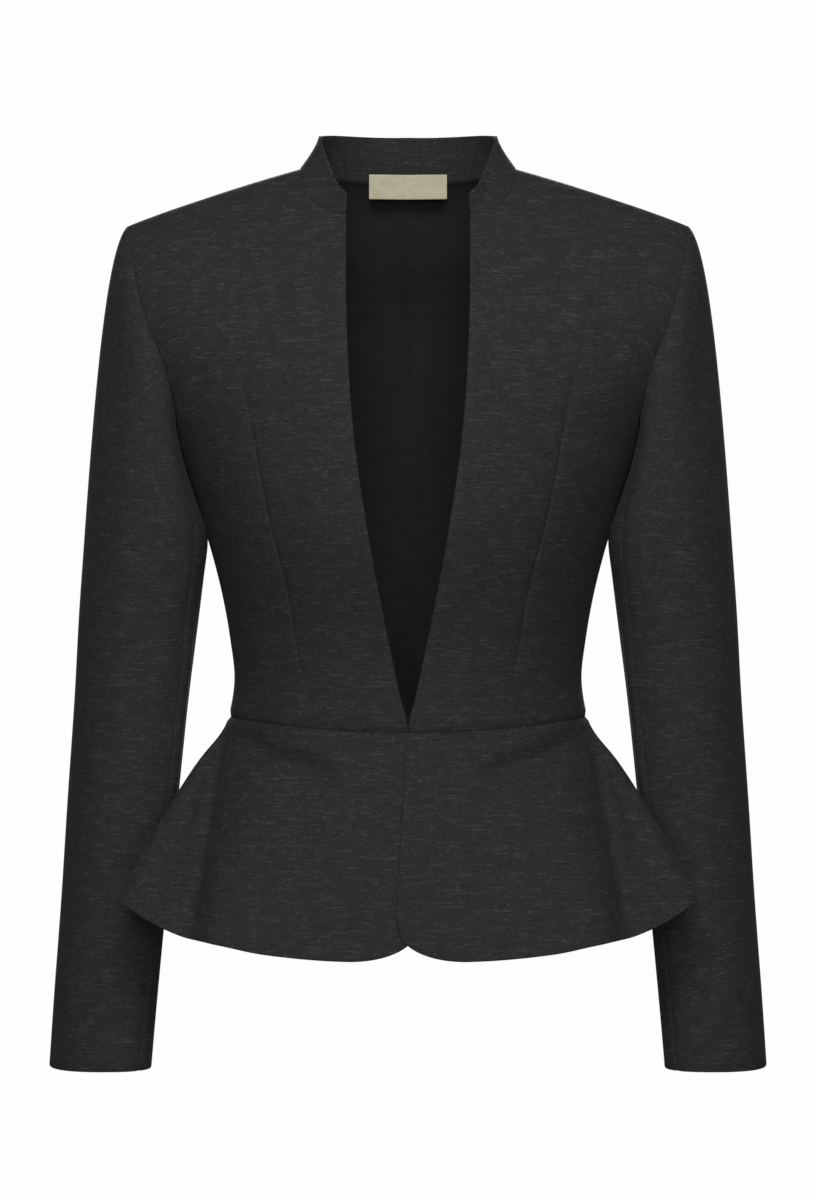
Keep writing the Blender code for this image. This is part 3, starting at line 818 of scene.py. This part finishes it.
def rolled_peplum(grid, normals):
    """The peplum with the roll that stands out under the waist seam and dies out before the side."""
    from_waist = walks(grid)[1]
    lift = ROLL_HEIGHT * bump(from_waist - ROLL_PLACE, ROLL_WIDTH)
    lift = lift * (1 - ease((grid[:1, :, 0] - ROLL_END_X) / ROLL_FADE))
    return grid + normals * lift[..., None]


def drawn_in(grid, edges):
    """The grid with its edges drawn in, and the outward directions and the rounding along its rim."""
    drawn = grid.copy()
    outward = np.zeros_like(grid)
    rounding = np.zeros(grid.shape[:2])
    for name, edge in edges.items():
        rim, beside = RIMS[name]
        points, next_to = grid[rim], grid[beside]
        whole = [slice(None)]
        stretches = whole if edge.corner is None else [slice(0, edge.corner + 1), slice(edge.corner, None)]
        for stretch in stretches:
            along = unit(np.gradient(points[stretch], axis=0))
            inward = next_to[stretch] - points[stretch]
            inward = unit(inward - along * np.sum(inward * along, axis=-1, keepdims=True))
            drawn[rim][stretch] += (edge.gap + edge.round) * inward
            outward[rim][stretch] -= inward
            rounding[rim][stretch] = np.maximum(rounding[rim][stretch], edge.round)
    return drawn, outward, rounding


def flat_places(grid):
    """Flat coordinates in metres: the walk along each row, and the height, which walks on over slopes."""
    aside = np.sign(np.mean(grid[:, -1, 0] - grid[:, 0, 0]))
    across = grid[:, :1, 0] + aside * walks(grid)[0]
    step = np.diff(grid, axis=0)
    extra = np.clip(np.linalg.norm(step[..., 1:], axis=-1) - LEVEL_SLOPE * abs(step[..., 2]), 0, None)
    extra = np.concatenate((np.zeros((1, grid.shape[1])), np.cumsum(extra, axis=0)), axis=0)
    upward = np.sign(grid[-1, 0, 2] - grid[0, 0, 2])
    return np.stack((across, grid[..., 2] + upward * extra), axis=-1).reshape(-1, 2) * MM


def shell(name, grid, normals, edges, wall=WALL):
    """A closed thin shell under a grid of outer points, with rounded rims and flat coordinates."""
    outer, outward, rounding = drawn_in(grid, edges)
    inner = outer - wall * normals
    rows, columns = grid.shape[:2]
    count = rows * columns
    index = np.arange(count).reshape(rows, columns)
    corners = (index[:-1, :-1], index[:-1, 1:], index[1:, 1:], index[1:, :-1])
    quads = np.stack(corners, axis=-1).reshape(-1, 4)
    loop = np.concatenate((index[0, :-1], index[:-1, -1], index[-1, :0:-1], index[:0:-1, 0]))
    points = [outer.reshape(-1, 3), inner.reshape(-1, 3)]
    normal = normals.reshape(-1, 3)[loop]
    middle = (points[0][loop] + points[1][loop]) / 2
    aside = unit(outward.reshape(-1, 3)[loop]) * rounding.reshape(-1)[loop][:, None]
    rings = [loop]
    for step in range(1, RIM_STEPS):
        angle = math.pi * step / RIM_STEPS
        points.append(middle + wall / 2 * math.cos(angle) * normal + math.sin(angle) * aside)
        rings.append(2 * count + (step - 1) * len(loop) + np.arange(len(loop)))
    rings.append(loop + count)
    faces = [quads, quads[:, ::-1] + count]
    for near, far in zip(rings, rings[1:]):
        faces.append(np.stack((np.roll(near, -1), near, far, np.roll(far, -1)), axis=-1))
    faces = np.concatenate(faces)
    points = np.concatenate(points)
    facing = np.cross(points[quads[:, 1]] - points[quads[:, 0]], points[quads[:, 3]] - points[quads[:, 0]])
    if np.sum(facing * (points[:count] - points[count : 2 * count])[quads[:, 0]]) < 0:
        faces = faces[:, ::-1]
    flat = flat_places(grid)
    flat = np.concatenate((flat, flat, np.tile(flat[loop], (RIM_STEPS - 1, 1))))
    mesh = bpy.data.meshes.new(name)
    mesh.from_pydata((points * MM).tolist(), [], faces.tolist())
    layer = mesh.uv_layers.new(name="cut")
    layer.data.foreach_set("uv", flat[faces.reshape(-1)].astype(np.float32).reshape(-1))
    mesh.shade_smooth()
    rim_inside = (rounding.reshape(-1)[loop] < EDGE_ROUND).astype(np.int32)
    inside = [np.zeros(len(quads), np.int32), np.ones(len(quads), np.int32)]
    for step in range(RIM_STEPS):
        inside.append(rim_inside * (2 * step >= RIM_STEPS))
    inside = np.concatenate(inside).astype(np.int32)
    mesh.polygons.foreach_set("material_index", inside)
    return mesh


def add_piece(node, grid, normals, edges, materials, slot, wall=WALL):
    """One piece of cloth that stands for its node, with the materials of its right and its wrong side."""
    mesh = shell(node + "_cloth", grid, normals, edges, wall)
    for material in materials:
        mesh.materials.append(material)
    piece = bpy.data.objects.new(node + "_cloth", mesh)
    bpy.context.scene.collection.objects.link(piece)
    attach(piece, "root")
    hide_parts(node)


def add_pair(node, grid, normals, edges, materials):
    """The piece of the wearer's left and its mirror image."""
    add_piece(node + "_left", grid, normals, edges, materials, "suiting")
    add_piece(node + "_right", grid * MIRROR, normals * MIRROR, edges, materials, "suiting")


def upper_forms():
    """Front, back and sleeve of the wearer's left, and the collar, with equal normals at their seams."""
    front, back = body_panel(True), body_panel(False)
    front_normals, back_normals = body_normals(front, True), body_normals(back, False)
    sleeve = sleeve_grid(front, back)
    sleeve_normals = normals_of(sleeve, ring=True)
    collar = collar_grid(front, back)
    collar_normals = normals_of(collar)
    half = collar.shape[1] // 2
    collar_normals[:, half, 0] = 0
    collar_normals = unit(collar_normals)

    armhole, neck = np.arange(HIGH_ROWS + 1), np.arange(NECK_ROWS + 1)
    between, behind = armhole[1:-1], neck[:-1]
    join_seam(front_normals, (LOW_ROWS + armhole, -1), sleeve_normals, (0, HIGH_ROWS - armhole))
    join_seam(back_normals, (LOW_ROWS + between, -1), sleeve_normals, (0, HIGH_ROWS + between))
    join_seam(front_normals, (FIRST_NECK + neck, 0), collar_normals, (0, neck))
    join_seam(back_normals, (FIRST_NECK + behind, 0), collar_normals, (0, half - behind))
    for corner in ((LOW_ROWS, -1), (-1, -1), (-1, 0)):
        back_normals[corner] = front_normals[corner]
    collar_normals[0, half + 1 :] = collar_normals[0, half - 1 :: -1] * MIRROR
    return (
        Form(front, front_normals),
        Form(back, back_normals),
        Form(sleeve, sleeve_normals),
        Form(collar, collar_normals),
    )


def dart_depth(x, z):
    """Depth of a front's waist dart at a place seen from the front: a sharp line in a soft hollow."""
    away = x - spline(DART, "z", "x", z)
    depth = DART_DEPTH * bump(away, DART_LINE) + DART_HOLLOW_DEPTH * bump(away, DART_HOLLOW)
    fade = ease((z - DART_LOW_Z) / DART_FADE) * ease((DART_HIGH_Z - z) / DART_FADE)
    return depth * fade


def add_fronts(form, suiting):
    """Both fronts, each with its waist dart and an open edge along the V."""
    dart = dart_depth(form.grid[..., 0], form.grid[..., 2])
    shaped = folded(*form, FRONT_FOLDS, BODICE_SEAMS) - form.normals * dart[..., None]
    add_pair("front", shaped, form.normals, BODICE_EDGES, suiting)


def add_backs(form, suiting):
    """Both backs, sewn together down the centre."""
    seams = {**BODICE_SEAMS, "first_column": SEAM}
    edges = {**BODICE_EDGES, "first_column": SEWN._replace(corner=FIRST_NECK)}
    add_pair("back", folded(*form, BACK_FOLDS, seams), form.normals, edges, suiting)


def add_sleeves(form, suiting):
    """Upper and under sleeves, parted along the two seams of the whole sleeve."""
    shaped = creased_sleeve(*form)
    count = shaped.shape[1]
    parts = {
        "upper_sleeve": np.arange(BACK_SEAM, count + FRONT_SEAM + 1) % count,
        "under_sleeve": np.arange(FRONT_SEAM, BACK_SEAM + 1),
    }
    for name, columns in parts.items():
        add_pair(name, shaped[:, columns], form.normals[:, columns], SLEEVE_EDGES, suiting)


def add_collar(form, suiting):
    """The collar band, with the right side of the suiting on both faces."""
    right_side = suiting[0]
    add_piece("collar", *form, COLLAR_EDGES, (right_side, right_side), "suiting")


def add_label(collar, satin):
    """The label, hung within the collar at centre back."""
    face = label_grid(collar.grid - WALL * collar.normals)
    facing = np.zeros_like(face) - (0, 1, 0)
    add_piece("label", face, facing, LABEL_EDGES, (satin, satin), "label_satin", LABEL_THICKNESS)


def add_peplum(suiting):
    """Two peplum fronts, the wearer's left over the right, and two peplum backs."""
    for side, sign, lift in (("left", 1, -LAP_LIFT), ("right", -1, LAP_LIFT)):
        grid = peplum_grid(PEPLUM_FRONT, True, lift)
        normals = peplum_normals(grid, True)
        shaped = rolled_peplum(folded(grid, normals, PEPLUM_FOLDS, PEPLUM_SEAMS), normals)
        node = f"peplum_front_{side}"
        mirror = (sign, 1, 1)
        add_piece(node, shaped * mirror, normals * mirror, PEPLUM_EDGES, suiting, "suiting")
    grid = peplum_grid(PEPLUM_BACK, False, 0.0)
    normals = peplum_normals(grid, False)
    seams = {**PEPLUM_SEAMS, "first_column": SEAM}
    edges = {**PEPLUM_EDGES, "first_column": SEWN}
    shaped = rolled_peplum(folded(grid, normals, PEPLUM_FOLDS, seams), normals)
    add_pair("peplum_back", shaped, normals, edges, suiting)


class Weaver:
    """Builds a material's nodes on the cloth's flat coordinates."""

    def __init__(self, name):
        self.material = bpy.data.materials.new(name)
        self.material.use_nodes = True
        self.nodes = self.material.node_tree.nodes
        self.links = self.material.node_tree.links
        self.shader = self.nodes["Principled BSDF"]
        self.flat = self.nodes.new("ShaderNodeUVMap")
        self.flat.uv_map = "cut"

    def places(self, across, along, shift):
        """The flat coordinates counted in steps of the given size, and shifted."""
        node = self.nodes.new("ShaderNodeMapping")
        node.inputs["Scale"].default_value = (1 / (across * MM), 1 / (along * MM), 1.0)
        node.inputs["Location"].default_value = shift
        self.links.new(self.flat.outputs["UV"], node.inputs["Vector"])
        return node.outputs["Vector"]

    def noise_at(self, places, detail):
        """Noise with one mark to a step of the places."""
        texture = self.nodes.new("ShaderNodeTexNoise")
        texture.inputs["Scale"].default_value = 1.0
        texture.inputs["Detail"].default_value = detail
        self.links.new(places, texture.inputs["Vector"])
        return texture.outputs["Fac"]

    def noise(self, kind):
        """Noise whose marks have the size of the given kind on the cloth."""
        shift = [kind.seed * amount for amount in NOISE_SHIFT]
        return self.noise_at(self.places(kind.across, kind.along, shift), kind.detail)

    def math(self, operation, first, second=0.0, third=0.0):
        """The result of a sum on values, each a number or another node's output."""
        node = self.nodes.new("ShaderNodeMath")
        node.operation = operation
        for socket, value in zip(node.inputs, (first, second, third)):
            if isinstance(value, (int, float)):
                socket.default_value = value
            else:
                self.links.new(value, socket)
        return node.outputs["Value"]

    def threads(self, kind):
        """Noise that keeps to single threads across the cloth, with marks of the given kind's length."""
        place = self.nodes.new("ShaderNodeSeparateXYZ")
        self.links.new(self.flat.outputs["UV"], place.inputs["Vector"])
        row = self.math("FLOOR", self.math("MULTIPLY", place.outputs["Y"], 1 / (THREAD * MM)))
        shift = self.math("MULTIPLY", row, ROW_SHIFT)
        spot = self.nodes.new("ShaderNodeCombineXYZ")
        along = self.math("MULTIPLY_ADD", place.outputs["X"], 1 / (kind.length * MM), shift)
        self.links.new(along, spot.inputs["X"])
        self.links.new(self.math("MULTIPLY", row, ROW_STEP), spot.inputs["Y"])
        spot.inputs["Z"].default_value = kind.seed * THREADS_SHIFT
        return self.noise_at(spot.outputs["Vector"], 0.0)

    def crossings(self, kind):
        """A random value for each crossing of a thread across with a thread along."""
        shift = [kind.seed * amount for amount in CROSSINGS_SHIFT]
        crossing = self.nodes.new("ShaderNodeVectorMath")
        crossing.operation = "FLOOR"
        texture = self.nodes.new("ShaderNodeTexWhiteNoise")
        texture.noise_dimensions = "2D"
        self.links.new(self.places(kind.length, kind.length, shift), crossing.inputs[0])
        self.links.new(crossing.outputs["Vector"], texture.inputs["Vector"])
        return texture.outputs["Value"]

    def span(self, value, low, high, to_low=0.0, to_high=1.0):
        """The value carried from one range to another with soft ends."""
        node = self.nodes.new("ShaderNodeMapRange")
        node.interpolation_type = "SMOOTHSTEP"
        node.inputs["From Min"].default_value = low
        node.inputs["From Max"].default_value = high
        node.inputs["To Min"].default_value = to_low
        node.inputs["To Max"].default_value = to_high
        self.links.new(value, node.inputs["Value"])
        return node.outputs["Result"]

    def sum(self, first, second, scale):
        """first + second * scale."""
        return self.math("MULTIPLY_ADD", second, scale, first)

    def colours(self, value, stops):
        """A colour ramp over the value."""
        node = self.nodes.new("ShaderNodeValToRGB")
        ramp = node.color_ramp
        while len(ramp.elements) < len(stops):
            ramp.elements.new(0.5)
        for element, (place, colour) in zip(ramp.elements, stops):
            element.position = place
            element.color = (*colour, 1.0)
        self.links.new(value, node.inputs["Fac"])
        self.links.new(node.outputs["Color"], self.shader.inputs["Base Color"])

    def raise_by(self, value, relief):
        """A relief of the given height that follows the value."""
        node = self.nodes.new("ShaderNodeBump")
        node.inputs["Strength"].default_value = relief.strength
        node.inputs["Distance"].default_value = relief.height * MM
        self.links.new(value, node.inputs["Height"])
        self.links.new(node.outputs["Normal"], self.shader.inputs["Normal"])

    def finish(self, values):
        """The shader's constant values, by the names of its inputs."""
        for name, value in values.items():
            self.shader.inputs[name].default_value = value


def suiting_material():
    """Charcoal slub suiting: fine paler threads across, darker ones between, and small flecks."""
    cloth = Weaver("suiting_cloth")
    mottle = cloth.noise(MOTTLE)
    noises = {
        LONG_MARK: cloth.sum(cloth.threads(LONG_THREADS), mottle, MOTTLE_SHARE),
        SHORT_MARK: cloth.sum(cloth.threads(SHORT_THREADS), mottle, MOTTLE_SHARE),
        DARK_MARK: cloth.threads(DARK_THREADS),
        WARP_MARK: cloth.noise(WARP),
        PALE_FLECK_MARK: cloth.crossings(PALE_FLECKS),
        DARK_FLECK_MARK: cloth.crossings(DARK_FLECKS),
    }
    marks = {mark: cloth.span(noise, mark.low, mark.high) for mark, noise in noises.items()}
    tone = cloth.span(mottle, *MOTTLE_RANGE, *SUITING_TONES)
    for mark, cover in marks.items():
        tone = cloth.sum(tone, cover, mark.paler)
    cloth.colours(tone, SUITING_COLOURS)
    relief = cloth.sum(cloth.noise(WEFT_RELIEF), cloth.noise(WARP_RELIEF), WARP_SHARE)
    cloth.raise_by(cloth.sum(relief, marks[LONG_MARK], SLUB_SHARE), SUITING_RELIEF)
    cloth.finish(SUITING_FINISH)
    return cloth.material


def reverse_material_painted_shade():
    """Wrong side of the suiting, with little slub; its darker colour is painted shade on the garment's
    inside.
    """
    cloth = Weaver("suiting_reverse_painted_shade")
    threads = cloth.span(cloth.threads(REVERSE_THREADS), REVERSE_MARK.low, REVERSE_MARK.high)
    tone = cloth.span(cloth.noise(MOTTLE), *MOTTLE_RANGE, *REVERSE_TONES)
    cloth.colours(cloth.sum(tone, threads, REVERSE_MARK.paler), REVERSE_SHADED_COLOURS)
    relief = cloth.sum(cloth.noise(WEFT_RELIEF), cloth.noise(WARP_RELIEF), WARP_SHARE)
    cloth.raise_by(relief, REVERSE_RELIEF)
    cloth.finish(REVERSE_FINISH)
    return cloth.material


def label_material():
    """Bare woven satin in khaki beige."""
    satin = Weaver("label_cloth")
    floats = satin.noise(SATIN_FLOATS)
    tone = satin.span(satin.noise(SATIN_MOTTLE), *MOTTLE_RANGE, *SATIN_TONES)
    satin.colours(satin.sum(tone, floats, FLOATS_SHARE), SATIN_COLOURS)
    relief = satin.sum(floats, satin.noise(SATIN_WARP), SATIN_WARP_SHARE)
    satin.raise_by(relief, SATIN_RELIEF)
    satin.finish(SATIN_FINISH)
    return satin.material


def add_light(name, place, target, size, power):
    """An area light at a place, turned to its target."""
    data = bpy.data.lights.new(name, "AREA")
    data.shape = "RECTANGLE"
    data.size, data.size_y = size
    data.energy = power
    lamp = bpy.data.objects.new(name, data)
    lamp.location = place
    direction = np.subtract(target, place)
    yaw = math.atan2(direction[0], direction[1])
    pitch = math.atan2(direction[2], math.hypot(direction[0], direction[1]))
    lamp.rotation_euler = (math.pi / 2 + pitch, 0.0, -yaw)
    bpy.context.scene.collection.objects.link(lamp)


def add_stage():
    """A white backdrop, soft studio light from before and behind, and the camera square to the front."""
    world = bpy.data.worlds.new("studio")
    world.use_nodes = True
    nodes, links = world.node_tree.nodes, world.node_tree.links
    background = nodes["Background"]
    background.inputs["Color"].default_value = (1.0, 1.0, 1.0, 1.0)
    ray = nodes.new("ShaderNodeLightPath")
    strength = nodes.new("ShaderNodeMapRange")
    strength.inputs["To Min"].default_value = ROOM_LIGHT
    strength.inputs["To Max"].default_value = BACKDROP_LIGHT
    links.new(ray.outputs["Is Camera Ray"], strength.inputs["Value"])
    links.new(strength.outputs["Result"], background.inputs["Strength"])
    bpy.context.scene.world = world
    for lamp in LAMPS:
        add_light(*lamp)

    data = bpy.data.cameras.new("camera")
    data.sensor_fit = "VERTICAL"
    data.sensor_height = SENSOR
    data.lens = CAMERA_LENS
    camera = bpy.data.objects.new("camera", data)
    camera.location = CAMERA_PLACE
    camera.rotation_euler = (math.pi / 2, 0.0, 0.0)
    bpy.context.scene.collection.objects.link(camera)
    bpy.context.scene.camera = camera
    bpy.context.scene.view_settings.view_transform = "Standard"


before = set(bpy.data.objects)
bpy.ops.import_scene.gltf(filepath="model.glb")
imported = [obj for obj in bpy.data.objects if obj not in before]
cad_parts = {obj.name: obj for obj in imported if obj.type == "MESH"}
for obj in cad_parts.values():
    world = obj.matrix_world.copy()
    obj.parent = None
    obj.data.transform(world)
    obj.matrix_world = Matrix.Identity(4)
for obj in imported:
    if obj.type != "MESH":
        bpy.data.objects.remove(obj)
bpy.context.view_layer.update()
add_stage()
front_form, back_form, sleeve_form, collar_form = upper_forms()
suiting_sides = (suiting_material(), reverse_material_painted_shade())
add_fronts(front_form, suiting_sides)
add_backs(back_form, suiting_sides)
add_sleeves(sleeve_form, suiting_sides)
add_collar(collar_form, suiting_sides)
add_label(collar_form, label_material())
add_peplum(suiting_sides)
